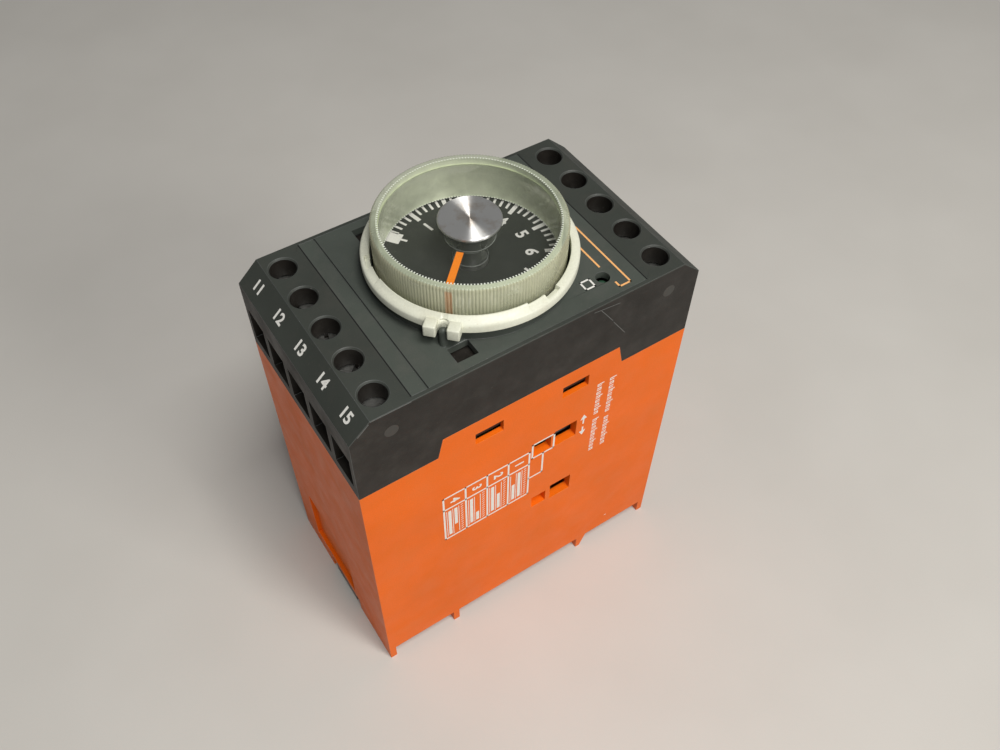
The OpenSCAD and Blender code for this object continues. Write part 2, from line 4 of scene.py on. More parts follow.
import bmesh
import bpy
from mathutils import Matrix, Vector

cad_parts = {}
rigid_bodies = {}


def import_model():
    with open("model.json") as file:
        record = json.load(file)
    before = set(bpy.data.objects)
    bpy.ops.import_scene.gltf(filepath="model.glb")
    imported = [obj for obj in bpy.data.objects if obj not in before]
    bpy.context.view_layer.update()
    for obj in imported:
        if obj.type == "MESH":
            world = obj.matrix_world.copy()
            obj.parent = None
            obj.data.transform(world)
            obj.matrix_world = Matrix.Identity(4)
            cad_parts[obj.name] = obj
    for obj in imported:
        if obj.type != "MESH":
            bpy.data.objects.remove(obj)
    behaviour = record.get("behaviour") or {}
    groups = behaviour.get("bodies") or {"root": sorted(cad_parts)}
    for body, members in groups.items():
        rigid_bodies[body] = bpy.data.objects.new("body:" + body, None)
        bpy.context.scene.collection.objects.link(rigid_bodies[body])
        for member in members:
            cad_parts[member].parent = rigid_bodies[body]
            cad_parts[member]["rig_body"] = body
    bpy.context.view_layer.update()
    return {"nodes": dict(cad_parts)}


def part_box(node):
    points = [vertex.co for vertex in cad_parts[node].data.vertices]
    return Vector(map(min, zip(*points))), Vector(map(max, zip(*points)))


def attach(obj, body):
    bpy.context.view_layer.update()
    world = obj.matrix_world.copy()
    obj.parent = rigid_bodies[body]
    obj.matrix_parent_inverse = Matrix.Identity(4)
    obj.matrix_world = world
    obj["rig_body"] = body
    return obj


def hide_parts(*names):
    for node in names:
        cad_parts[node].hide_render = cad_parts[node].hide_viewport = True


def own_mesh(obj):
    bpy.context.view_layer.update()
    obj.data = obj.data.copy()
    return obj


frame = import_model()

MM = 0.001
FLAT = 0.5  # faces that meet at less than this many degrees are one flat face
EDGE_ANGLE = 35  # edges sharper than this many degrees are rounded

# ---- Places, read from the frame ----

face_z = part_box("dial_plate")[0].z
dial_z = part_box("dial_plate")[1].z
dial_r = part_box("dial_plate")[1].x
knob_low, knob_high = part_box("knob")
knob_r = knob_high.x
ring_low, ring_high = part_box("dial_ring")
ring_r = ring_high.x
disc_low, disc_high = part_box("knob_disc")
disc_r = disc_high.x
half_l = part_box("housing_base")[1].x
half_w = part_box("housing_base")[1].y
side_y = -half_w
POINTER_ANGLE = -135
KEY_ANGLE = -135.4
CHAMFER_X, CHAMFER_Z = 4.4, 4.0  # the cover's end chamfers, in millimetres

# ---- Camera, at the photograph's angle ----


def make_camera():
    data = bpy.data.cameras.new("camera")
    data.sensor_width = 36
    data.lens = 34.09
    data.clip_start = 0.01
    camera = bpy.data.objects.new("camera", data)
    right = Vector((0.83569, -0.54910, 0.01022))
    up = Vector((0.42456, 0.65773, 0.62221))
    back = Vector((-0.34838, -0.51564, 0.78278))
    turn = Matrix((right, up, back)).transposed().to_4x4()
    camera.matrix_world = Matrix.Translation((-0.06696, -0.10967, 0.22114)) @ turn
    bpy.context.scene.collection.objects.link(camera)
    bpy.context.scene.camera = camera


# ---- Materials ----


class Paint:
    """A material and the nodes that feed its Principled shader, in millimetres of the row frame."""

    def __init__(self, name, **sockets):
        self.material = bpy.data.materials.new(name)
        self.material.use_nodes = True
        self.tree = self.material.node_tree
        self.shader = self.tree.nodes["Principled BSDF"]
        for socket, value in sockets.items():
            self.shader.inputs[socket.replace("_", " ")].default_value = value
        place = self.node("ShaderNodeTexCoord").outputs["Object"]
        scale = self.node("ShaderNodeVectorMath", operation="SCALE")
        self.tree.links.new(place, scale.inputs[0])
        scale.inputs["Scale"].default_value = 1 / MM
        self.place = scale.outputs[0]

    def node(self, kind, **settings):
        made = self.tree.nodes.new(kind)
        for key, value in settings.items():
            setattr(made, key, value)
        return made

    def feed(self, socket, value):
        if isinstance(value, bpy.types.NodeSocket):
            self.tree.links.new(value, socket)
        elif isinstance(value, tuple):
            socket.default_value = (*value, 1)
        else:
            socket.default_value = value

    def noise(self, size, detail=3.0, rough=0.55):
        made = self.node("ShaderNodeTexNoise")
        made.inputs["Scale"].default_value = 1 / size
        made.inputs["Detail"].default_value = detail
        made.inputs["Roughness"].default_value = rough
        self.tree.links.new(self.place, made.inputs["Vector"])
        return made.outputs["Fac"]

    def ramp(self, value, low, high, out_low=0.0, out_high=1.0):
        made = self.node("ShaderNodeMapRange")
        for key, number in (("From Min", low), ("From Max", high), ("To Min", out_low), ("To Max", out_high)):
            made.inputs[key].default_value = number
        self.tree.links.new(value, made.inputs["Value"])
        return made.outputs["Result"]

    def maths(self, operation, a, b):
        made = self.node("ShaderNodeMath", operation=operation)
        self.feed(made.inputs[0], a)
        self.feed(made.inputs[1], b)
        return made.outputs[0]

    def mix(self, amount, a, b):
        made = self.node("ShaderNodeMix", data_type="RGBA")
        self.feed(made.inputs[0], amount)
        colours = [socket for socket in made.inputs if socket.type == "RGBA"]
        self.feed(colours[0], a)
        self.feed(colours[1], b)
        return next(socket for socket in made.outputs if socket.type == "RGBA")

    def finish(self, colour, rough, height=None, depth=0.02, strength=1.0):
        """Feeds the shader; height is a bump pattern from 0 to 1 and depth its size in millimetres."""
        self.feed(self.shader.inputs["Base Color"], colour)
        self.feed(self.shader.inputs["Roughness"], rough)
        if height is not None:
            bump = self.node("ShaderNodeBump")
            bump.inputs["Strength"].default_value = strength
            bump.inputs["Distance"].default_value = depth * MM
            self.tree.links.new(height, bump.inputs["Height"])
            self.tree.links.new(bump.outputs[0], self.shader.inputs["Normal"])
        return self.material


def upper_faces(paint):
    """1 on the top face of the cover and on its end chamfers, 0 elsewhere: the faces that get a lighter
    colour, painted light from above.
    """
    parts = paint.node("ShaderNodeSeparateXYZ")
    paint.tree.links.new(paint.place, parts.inputs[0])
    reach = paint.maths("ABSOLUTE", parts.outputs["X"], 0.0)
    height = face_z / MM
    on_top = paint.ramp(parts.outputs["Z"], height - 0.4, height - 0.2)
    along = paint.maths("DIVIDE", paint.maths("SUBTRACT", half_l / MM, reach), CHAMFER_X)
    down = paint.maths("DIVIDE", paint.maths("SUBTRACT", height, parts.outputs["Z"]), CHAMFER_Z)
    on_chamfer = paint.ramp(paint.maths("ADD", along, down), 1.03, 1.07, 1.0, 0.0)
    return paint.maths("MAXIMUM", on_top, on_chamfer)


def moulded(name, colour, shade=0.8, rough=0.45, grain=0.22, depth=0.012, dust=0.0,
            dust_colour=(0.35, 0.33, 0.28), gleam=0.5, top=None):
    """Moulded plastic: cloudy colour, fine spark-eroded grain, and optional dust and smudges.

    top is a lighter colour for the cover's upper faces, painted light for the light that falls on them from
    above.
    """
    paint = Paint(name, Specular_IOR_Level=gleam)
    cloud = paint.ramp(paint.noise(14, 4), 0.3, 0.7)
    dark = tuple(shade * c for c in colour)
    tone = paint.mix(cloud, colour, dark)
    fine = paint.noise(grain, 2)
    tone = paint.mix(paint.ramp(fine, 0.35, 0.75, 0, 0.25), tone, tuple(0.6 * c for c in colour))
    if top:
        tone = paint.mix(upper_faces(paint), tone, paint.mix(cloud, top, tuple(0.75 * c for c in top)))
    gloss = paint.ramp(paint.noise(5, 3), 0.3, 0.7, rough - 0.06, rough + 0.1)
    if dust:
        smudge = paint.maths("MULTIPLY", paint.ramp(paint.noise(7, 5, 0.65), 0.5, 0.75), dust)
        speck = paint.maths("MULTIPLY", paint.ramp(paint.noise(0.5, 1), 0.70, 0.78), dust * 1.5)
        tone = paint.mix(paint.maths("MAXIMUM", smudge, speck), tone, dust_colour)
    return paint.finish(tone, gloss, fine, depth)


def printed(name, colour):
    """Screen-printed ink, thin in places."""
    paint = Paint(name)
    thin = paint.ramp(paint.noise(0.6, 3), 0.55, 0.8, 0, 0.35)
    worn = tuple(0.55 * c for c in colour)
    return paint.finish(paint.mix(thin, colour, worn), 0.5, paint.noise(0.3), 0.005)


def metal(name, colour, rough):
    """Plated sheet or wire, slightly stained."""
    paint = Paint(name, Metallic=1.0)
    lines = paint.noise(0.3, 4, 0.6)
    tone = paint.mix(paint.ramp(paint.noise(4, 3), 0.3, 0.75), colour, tuple(0.72 * c for c in colour))
    return paint.finish(tone, paint.ramp(lines, 0.3, 0.7, rough - 0.08, rough + 0.12), lines, 0.01)


def spun_metal():
    """Aluminium turned on a lathe: fine rings about the knob's axis that stretch its highlights."""
    paint = Paint("spun_aluminium", Metallic=0.85, Anisotropic=1.0, Anisotropic_Rotation=0.25)
    parts = paint.node("ShaderNodeSeparateXYZ")
    paint.tree.links.new(paint.place, parts.inputs[0])
    square = [paint.maths("MULTIPLY", parts.outputs[axis], parts.outputs[axis]) for axis in "XY"]
    radius = paint.maths("SQRT", paint.maths("ADD", square[0], square[1]), 0.0)
    rings = paint.node("ShaderNodeTexNoise", noise_dimensions="1D")
    rings.inputs["Scale"].default_value = 14
    rings.inputs["Detail"].default_value = 3
    paint.tree.links.new(radius, rings.inputs["W"])
    tangent = paint.node("ShaderNodeTangent", direction_type="RADIAL", axis="Z")
    paint.tree.links.new(tangent.outputs[0], paint.shader.inputs["Tangent"])
    # Brown patches: staining, and a painted reflection of brown surroundings.
    stain_and_painted_reflection = paint.ramp(paint.noise(4.0, 5, 0.6), 0.46, 0.66, 0, 0.6)
    tone = paint.mix(stain_and_painted_reflection, (0.90, 0.90, 0.88), (0.50, 0.37, 0.24))
    rough = paint.ramp(rings.outputs["Fac"], 0.3, 0.7, 0.36, 0.44)
    return paint.finish(tone, rough, rings.outputs["Fac"], 0.004, 0.6)


def clear_plastic(name, colour, alpha, rim, rough, ior=1.5):
    """Clear moulding, slightly hazed.

    alpha is how much it hides, and rim how much more at a glancing angle.
    """
    paint = Paint(name, IOR=ior)
    haze = paint.ramp(paint.noise(6, 5, 0.6), 0.3, 0.8, alpha * 0.75, alpha * 1.3)
    weight = paint.node("ShaderNodeLayerWeight")
    glance = paint.maths("MULTIPLY", paint.maths("POWER", weight.outputs["Facing"], 3.0), rim)
    paint.feed(paint.shader.inputs["Alpha"], paint.maths("ADD", haze, glance))
    return paint.finish(colour, paint.ramp(paint.noise(5, 4), 0.3, 0.7, rough * 0.7, rough * 1.4))


def wound(name):
    """Enamelled wire, laid side by side."""
    paint = Paint(name, Metallic=0.7)
    wave = paint.node("ShaderNodeTexWave", bands_direction="Z")
    wave.inputs["Scale"].default_value = 1.6
    paint.tree.links.new(paint.place, wave.inputs["Vector"])
    tone = paint.mix(wave.outputs["Fac"], (0.16, 0.05, 0.02), (0.62, 0.27, 0.12))
    return paint.finish(tone, 0.35, wave.outputs["Fac"], 0.05)


def board_green():
    paint = Paint("board_green")
    tracks = paint.node("ShaderNodeTexVoronoi", distance="MANHATTAN")
    tracks.inputs["Scale"].default_value = 0.35
    paint.tree.links.new(paint.place, tracks.inputs["Vector"])
    etched = paint.ramp(tracks.outputs["Distance"], 0.3, 0.45)
    tone = paint.mix(etched, (0.03, 0.16, 0.05), (0.05, 0.24, 0.09))
    return paint.finish(tone, 0.35, paint.noise(1.2), 0.01)


ORANGE = moulded("orange_plastic", (0.90, 0.155, 0.004), 0.88, 0.42, 0.3, 0.01, 0.05, (0.85, 0.38, 0.08),
                 gleam=0.20)
# Rounded edges are painted lighter: edge wear and a painted highlight along every edge.
ORANGE_EDGE_WEAR_AND_HIGHLIGHT = moulded("orange_edge_wear_and_highlight", (0.97, 0.34, 0.07), 0.9, 0.38)
# The black cover's upper faces are painted lighter than its sides: painted light from above.
BLACK = moulded("black_plastic", (0.017, 0.014, 0.011), 0.72, 0.50, 0.25, 0.02, 0.18, (0.11, 0.10, 0.085),
                gleam=0.3, top=(0.050, 0.056, 0.048))
BLACK_EDGE_WEAR_AND_HIGHLIGHT = moulded("black_edge_wear_and_highlight", (0.085, 0.092, 0.088), 0.5, 0.40, 0.5, 0.01, 0.35, (0.25, 0.25, 0.24))
PLATE = moulded("plate_plastic", (0.074, 0.086, 0.073), 0.75, 0.50, 0.25, 0.02, 0.30, (0.13, 0.125, 0.11))
DIAL = moulded("dial_ink", (0.030, 0.034, 0.029), 0.85, 0.42, 0.3, 0.006, 0.15, (0.12, 0.12, 0.11))
IVORY = moulded("ivory_plastic", (0.76, 0.77, 0.64), 0.93, 0.35, 0.4, 0.006, 0.20, (0.50, 0.42, 0.26))
SCUFF = printed("scuff", (0.11, 0.115, 0.11))
SEAM = printed("seam_shadow", (0.006, 0.006, 0.006))
PIN_MARK = printed("pin_mark", (0.036, 0.034, 0.029))
WHITE_INK = printed("white_ink", (0.80, 0.79, 0.74))
ORANGE_INK = printed("orange_ink", (0.90, 0.46, 0.17))
POINTER = printed("pointer_orange", (0.98, 0.26, 0.01))
CLEAR_TOP = clear_plastic("clear_top", (0.16, 0.17, 0.14), 0.07, 0.10, 0.06, 2.2)
CLEAR_SKIRT = clear_plastic("clear_skirt", (0.52, 0.51, 0.36), 0.52, 0.2, 0.20)
CLEAR_RIM = clear_plastic("clear_rim", (0.60, 0.66, 0.50), 0.45, 0.1, 0.16)
# The inside of the clear wall is painted far paler than its outside: painted light coming through the wall.
LINING_PAINTED_LIGHT = clear_plastic("knob_lining_painted_light", (0.84, 0.90, 0.68), 0.80, 0.1, 0.25)
# Pale flecks on the knob's ribs: painted glints.
PAINTED_GLINT = printed("rib_glint", (0.80, 0.84, 0.74))
CLEAR_HUB = clear_plastic("clear_hub", (0.30, 0.33, 0.29), 0.05, 0.7, 0.10, 1.8)
# Thin pale rings on the hub's edges: painted highlights.
CLEAR_EDGE_HIGHLIGHT = clear_plastic("clear_edge_highlight", (0.62, 0.66, 0.62), 0.5, 0.1, 0.2)
SPUN = spun_metal()
STEEL = metal("plated_steel", (0.34, 0.34, 0.32), 0.40)
TIN = metal("tinned_metal", (0.62, 0.62, 0.60), 0.32)
BRASS = metal("tinned_brass", (0.66, 0.57, 0.36), 0.34)
WOUND = wound("enamelled_wire")
BOARD = board_green()
LAMP = moulded("lamp_green", (0.04, 0.10, 0.06), 0.8, 0.15)
SHAFT = moulded("shaft_grey", (0.05, 0.055, 0.05), 0.85, 0.35)
PARTS_BLACK = moulded("parts_black", (0.025, 0.025, 0.025), 0.8, 0.35)
WHEEL = moulded("wheel_black", (0.030, 0.028, 0.026), 0.8, 0.45)
FRAME_GREY = moulded("frame_grey", (0.16, 0.17, 0.18), 0.85, 0.45)
PHENOLIC = moulded("phenolic_brown", (0.26, 0.12, 0.05), 0.8, 0.5)
RELAY_BLUE = moulded("relay_blue", (0.06, 0.11, 0.26), 0.85, 0.25)
FILM_YELLOW = moulded("film_yellow", (0.70, 0.44, 0.06), 0.85, 0.4)
SLEEVE_BLUE = moulded("sleeve_blue", (0.02, 0.04, 0.20), 0.85, 0.25)
CERAMIC_TAN = moulded("ceramic_tan", (0.60, 0.42, 0.25), 0.85, 0.4)
LATCH = moulded("latch_grey", (0.11, 0.10, 0.09), 0.8, 0.45)

# ---- Mesh helpers ----


def add_mesh(name, bm, body, materials, smooth=30):
    bmesh.ops.recalc_face_normals(bm, faces=bm.faces)
    mesh = bpy.data.meshes.new(name)
    bm.to_mesh(mesh)
    bm.free()
    for material in materials:
        mesh.materials.append(material)
    if smooth:
        mesh.shade_smooth()
        mesh.set_sharp_from_angle(angle=math.radians(smooth))
    piece = bpy.data.objects.new(name, mesh)
    bpy.context.scene.collection.objects.link(piece)
    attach(piece, body)
    return piece


def eased(node, name, width, flat, edge):
    """A copy of a CAD node with its sharp edges rounded; the rounding has its own lighter finish, edge wear
    with a painted highlight along every edge.
    """
    source = frame["nodes"][node]
    bm = bmesh.new()
    bm.from_mesh(source.data)
    bmesh.ops.remove_doubles(bm, verts=bm.verts, dist=MM / 1000)
    bmesh.ops.dissolve_limit(bm, angle_limit=math.radians(FLAT), verts=bm.verts, edges=bm.edges)
    bmesh.ops.connect_verts_concave(bm, faces=bm.faces)
    for face in bm.faces:
        face.material_index = 0
    piece = add_mesh(name, bm, source["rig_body"], [flat, edge], None)
    bevel = piece.modifiers.new("bevel", "BEVEL")
    bevel.width = width * MM
    bevel.segments = 3
    bevel.limit_method = "ANGLE"
    bevel.angle_limit = math.radians(EDGE_ANGLE)
    bevel.material = 1
    bevel.miter_outer = "MITER_ARC"
    piece.data.shade_smooth()
    weighted = piece.modifiers.new("weighted", "WEIGHTED_NORMAL")
    weighted.keep_sharp = True
    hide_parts(node)
    return piece


def apart(turn, other):
    """Angle between two directions about the knob's axis, from 0 to half a turn."""
    return abs((turn - other + math.pi) % (2 * math.pi) - math.pi)


def plain(points):
    """A profile for revolve() of one material and without ribs."""
    return [(r, z, 0, False) for r, z in points]


def revolve(profile, steps, radius=None, closed=True):
    """A solid of revolution about the knob's axis. Each profile point is (radius, z, material, ribbed)."""
    bm = bmesh.new()
    rings = []
    for r, z, _, ribbed in profile:
        if r == 0:
            rings.append([bm.verts.new((0, 0, z))])
            continue
        ring = []
        for k in range(steps):
            turn = 2 * math.pi * k / steps
            reach = radius(r, turn) if radius and ribbed else r
            ring.append(bm.verts.new((reach * math.cos(turn), reach * math.sin(turn), z)))
        rings.append(ring)
    pairs = list(zip(range(len(rings)), range(1, len(rings))))
    if closed:
        pairs.append((len(rings) - 1, 0))
    for a, b in pairs:
        low, high = rings[a], rings[b]
        if len(low) == 1 and len(high) == 1:
            continue
        for k in range(steps):
            n = (k + 1) % steps
            corners = [low[k % len(low)], low[n % len(low)], high[n % len(high)], high[k % len(high)]]
            corners = [v for i, v in enumerate(corners) if v not in corners[:i]]
            bm.faces.new(corners).material_index = profile[a][2]
    return bm


def slab(bm, corners, thickness):
    """A thin flat prism on a polygon; the corners are Vectors and it grows along the polygon's normal."""
    base = [bm.verts.new(c) for c in corners]
    face = bm.faces.new(base)
    face.normal_update()
    step = face.normal * thickness
    face.normal_flip()
    raised = [bm.verts.new(v.co + step) for v in base]
    bm.faces.new(raised)
    for k in range(len(base)):
        n = (k + 1) % len(base)
        bm.faces.new([base[k], base[n], raised[n], raised[k]])


INK = 0.015 * MM


class Sheet:
    """A flat surface that is printed on: origin, the two directions along it, and its normal."""

    def __init__(self, origin, across, up):
        self.origin, self.across, self.up = Vector(origin), Vector(across), Vector(up)
        self.normal = self.across.cross(self.up)

    def point(self, a, b):
        return self.origin + (self.across * a + self.up * b) * MM

    def box(self, bm, a0, a1, b0, b1):
        slab(bm, [self.point(a0, b0), self.point(a1, b0), self.point(a1, b1), self.point(a0, b1)], INK)

    def line(self, bm, a0, b0, a1, b1, width):
        step = Vector((a1 - a0, b1 - b0)).normalized() * width / 2
        side = Vector((-step.y, step.x))
        corners = []
        for a, b, way in ((a0, b0, -1), (a1, b1, 1)):
            for turn in (-way, way):
                corners.append(self.point(a + way * step.x + turn * side.x, b + way * step.y + turn * side.y))
        slab(bm, corners, INK)

    def path(self, bm, points, width):
        for start, end in zip(points, points[1:]):
            self.line(bm, *start, *end, width)

    def polygon(self, bm, points):
        slab(bm, [self.point(a, b) for a, b in points], INK)


def add_text(name, words, sheet, a, b, size):
    """White characters on the housing, centred on a point of a sheet."""
    data = bpy.data.curves.new(name, "FONT")
    data.body = words
    data.size = size * MM
    data.extrude = INK / 2
    data.offset = size * 0.03 * MM
    data.align_x = "CENTER"
    data.align_y = "CENTER"
    data.resolution_u = 6
    data.materials.append(WHITE_INK)
    piece = bpy.data.objects.new(name, data)
    basis = Matrix((sheet.across, sheet.up, sheet.normal)).transposed().to_4x4()
    piece.matrix_world = Matrix.Translation(sheet.point(a, b)) @ basis
    bpy.context.scene.collection.objects.link(piece)
    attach(piece, "housing")


# ---- Housing ----


def make_housing():
    eased("housing_base", "base_shell", 0.22, ORANGE, ORANGE_EDGE_WEAR_AND_HIGHLIGHT)
    eased("top_cover", "cover_shell", 0.28, BLACK, BLACK_EDGE_WEAR_AND_HIGHLIGHT)
    eased("front_plate", "front_panel", 0.14, PLATE, BLACK_EDGE_WEAR_AND_HIGHLIGHT)


# ---- Dial ring ----

RIM_RISE = 5.8  # height of the rim above the top face at the key
RIM_STEPS = ((45, -0.5), (57, -1.2), (67, 0.9))  # degrees from the key, and how the height changes there
STEP_EASE = 0.5
KEY_R = 20.9 * MM
KEY_SLOT_R = 1.0 * MM
KEY_SLOT_COLUMNS = 12


def eased_step(away, start):
    """Goes from 0 to 1 over half a degree past the start angle."""
    return min(1, max(0, (away - start) / STEP_EASE))


def ring_turns(key):
    """Angles of the ring's columns: every degree, both ends of each step, and close together at the key."""
    turns = {2 * math.pi * k / 360 for k in range(360)}
    for side in (-1, 1):
        for start, _ in RIM_STEPS:
            for ease in (0, STEP_EASE):
                turns.add((key + math.radians(side * (start + ease))) % (2 * math.pi))
    for k in range(-KEY_SLOT_COLUMNS, KEY_SLOT_COLUMNS + 1):
        turns.add((key + k * KEY_SLOT_R / KEY_SLOT_COLUMNS / KEY_R) % (2 * math.pi))
    return sorted(turns)


def make_ring():
    """Ring on the boss of the front panel; its rim steps down on both sides of the key."""
    inner, seat_r, seat = ring_r - 1.8 * MM, 19.35 * MM, face_z + 3.6 * MM
    low, edge = ring_low.z, face_z + 4.8 * MM
    key = math.radians(KEY_ANGLE)
    bm = bmesh.new()
    columns = []
    for turn in ring_turns(key):
        away = apart(turn, key)
        rise = RIM_RISE + sum(change * eased_step(math.degrees(away), start) for start, change in RIM_STEPS)
        rim = face_z + rise * MM
        along = away * KEY_R
        outer = ring_r
        if along < KEY_SLOT_R:
            outer = min(ring_r, KEY_R - math.sqrt(KEY_SLOT_R**2 - along**2))
        shoulder = min(19.75 * MM, outer - 0.42 * MM)
        slope = edge + (rim - edge) * 0.35 if rim > edge else edge
        notch = slope + 0.03 * MM if rim > edge else rim
        points = [
            (inner, seat), (seat_r, seat), (seat_r, low), (outer - 0.25 * MM, low), (outer, low + 0.25 * MM),
            (outer, edge - 0.5 * MM), (outer - 0.12 * MM, edge - 0.17 * MM), (outer - 0.4 * MM, edge),
            (shoulder, slope), (shoulder - 0.1 * MM, notch), (inner + 0.3 * MM, rim),
            (inner + 0.08 * MM, rim - 0.07 * MM), (inner, rim - 0.25 * MM)
        ]
        columns.append([bm.verts.new((r * math.cos(turn), r * math.sin(turn), z)) for r, z in points])
    for k, column in enumerate(columns):
        following = columns[(k + 1) % len(columns)]
        for i in range(len(column)):
            j = (i + 1) % len(column)
            bm.faces.new([column[i], following[i], following[j], column[j]])
    ring = add_mesh("scale_ring", bm, "housing", [IVORY], 40)
    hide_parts("dial_ring")
    for side in (-1, 1):
        make_lug(side, edge + 0.6 * MM)


def make_lug(side, top):
    """One of the lugs that straddle the keying pin."""
    bm = bmesh.new()
    width, reach, middle = 2.3 * MM, 22.3 * MM, 2.15 * MM
    start = ring_r - 0.6 * MM
    bottom = ring_low.z
    bmesh.ops.create_cube(bm, size=1)
    bmesh.ops.scale(bm, verts=bm.verts, vec=(reach - start, width, top - bottom))
    place = Vector(((reach + start) / 2, side * middle, (top + bottom) / 2))
    bmesh.ops.translate(bm, verts=bm.verts, vec=place)
    bmesh.ops.bevel(bm, geom=bm.edges[:], offset=0.3 * MM, segments=4, affect="EDGES", profile=0.5)
    bmesh.ops.rotate(bm, verts=bm.verts, matrix=Matrix.Rotation(math.radians(KEY_ANGLE), 3, "Z"))
    add_mesh(f"ring_lug_{1 if side < 0 else 2}", bm, "housing", [IVORY], 40)


# ---- Knob ----

RIBS = 184
RIB_DEPTH = 0.22 * MM
HUB_STEPS = 96
DISC_STEPS = 192


def rib(r, turn):
    """Radius of the ribbed skirt: rounded ridges with narrow valleys."""
    wave = abs(math.sin(RIBS / 2 * turn))
    return r - RIB_DEPTH * (1 - wave) ** 1.5


def make_knob():
    z0, z1 = knob_low.z, knob_high.z
    wall = 1.3 * MM
    inner, under = knob_r - wall, z1 - wall
    top_edge = 0.5 * MM
    well = disc_low.z
    top, skirt, rim, lit_lining = range(4)
    profile = [
        (disc_r, well, top, False), (disc_r, z1, top, False), (inner, z1, rim, False),
        (knob_r - top_edge, z1, rim, False), (knob_r - 0.2 * MM, z1 - 0.15 * MM, skirt, True),
        (knob_r, z1 - top_edge, skirt, True), (knob_r, z0 + 0.3 * MM, skirt, True),
        (knob_r - 0.3 * MM, z0, skirt, False), (inner, z0, lit_lining, False),
        (inner, under - 0.6 * MM, lit_lining, False), (inner - 0.25 * MM, under - 0.15 * MM, top, False),
        (inner - 0.6 * MM, under, top, False), (2 * MM, under, top, False),
        (2 * MM, well - 0.4 * MM, top, False), (0, well - 0.4 * MM, top, False), (0, well, top, False)
    ]
    bm = revolve(profile, RIBS * 6, rib, closed=False)
    line_turn = 0.65 * MM / inner
    for face in bm.faces:
        middle = face.calc_center_median()
        away = apart(math.atan2(middle.y, middle.x), math.radians(POINTER_ANGLE))
        if face.material_index == lit_lining and away < line_turn:
            face.material_index = top  # clear where the pointer's line runs down the wall
    cup = add_mesh("knob_cup", bm, "dial_knob", [CLEAR_TOP, CLEAR_SKIRT, CLEAR_RIM, LINING_PAINTED_LIGHT], 50)
    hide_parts("knob")
    # A thin pale band at the top of the inner wall, in the same painted light.
    band_low, band_high, band_wall = under - 0.7 * MM, z1 - 0.06 * MM, 0.1 * MM
    band = plain([
        (inner, band_low), (inner + band_wall, band_low), (inner + band_wall, band_high), (inner, band_high)
    ])
    add_mesh("knob_band_painted_light", revolve(band, RIBS), "dial_knob", [LINING_PAINTED_LIGHT], 50)
    make_glints(inner, z0, z1)
    make_hub(z0, under)


def make_glints(inner, z0, z1):
    """A painted glint at both ends of each rib: pale flecks that stand in for the light the ribs bend through
    the clear wall.
    """
    # Each painted glint's radius, height, length and half its width
    painted_glints = (
        (inner - 0.3 * MM, z1, 0.32 * MM, 0.12 * MM), (inner - 0.25 * MM, z0 + 0.1 * MM, 0.2 * MM, 0.16 * MM)
    )
    bm = bmesh.new()
    for k in range(RIBS):
        turn = 2 * math.pi * k / RIBS
        out = Vector((math.cos(turn), math.sin(turn), 0))
        along = Vector((-math.sin(turn), math.cos(turn), 0))
        for r, z, length, width in painted_glints:
            corners = []
            for a, b in ((0, -1), (1, -1), (1, 1), (0, 1)):
                corners.append(out * (r + a * length) + along * b * width + Vector((0, 0, z)))
            slab(bm, corners, INK)
    add_mesh("rib_glints", bm, "dial_knob", [PAINTED_GLINT], None)


def make_hub(z0, under):
    """The clear hub under the disc, and thin pale rings on its edges that are painted highlights."""
    hub_z = under - 3.3 * MM
    bore = 2.02 * MM
    hub = plain([
        (4.8 * MM, under - 0.02 * MM), (4.8 * MM, hub_z + 0.6 * MM), (4.5 * MM, hub_z),
        (3.6 * MM, hub_z - 0.5 * MM), (3.3 * MM, hub_z - 1.2 * MM), (3.3 * MM, z0 + 0.2 * MM),
        (3.1 * MM, z0), (bore, z0), (bore, under - 0.02 * MM)
    ])
    add_mesh("knob_hub", revolve(hub, HUB_STEPS), "dial_knob", [CLEAR_HUB], 50)
    highlight_rims = (
        (4.8 * MM, under - 0.5 * MM), (4.8 * MM, under - 2.7 * MM), (3.35 * MM, under - 4.5 * MM),
        (3.35 * MM, z0 + 0.3 * MM)
    )
    fine = 0.05 * MM
    for k, (r, z) in enumerate(highlight_rims):
        strip = plain([(r, z), (r + fine, z), (r + fine, z + 2 * fine), (r, z + 2 * fine)])
        add_mesh(f"hub_rim_highlight_{k + 1}", revolve(strip, HUB_STEPS), "dial_knob", [CLEAR_EDGE_HIGHLIGHT], None)


def make_disc():
    """Spun disc with a small chamfer and a lathe centre mark."""
    z0, z1 = disc_low.z, disc_high.z
    profile = plain([
        (0, z0), (disc_r - 0.02 * MM, z0), (disc_r - 0.02 * MM, z1 - 0.18 * MM), (disc_r - 0.2 * MM, z1),
        (0.25 * MM, z1 - 0.01 * MM), (0, z1 - 0.1 * MM)
    ])
    bm = revolve(profile, DISC_STEPS, closed=False)
    disc = add_mesh("spun_disc", bm, "dial_knob", [SPUN], 25)
    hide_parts("knob_disc")


# ---- Dial ----

SCALE_START = 127.5
UNIT_ANGLE = 25.5
UNITS = 10
PARTS = 5
SCALE_R = 17.2
NUMBER_R = 11.6


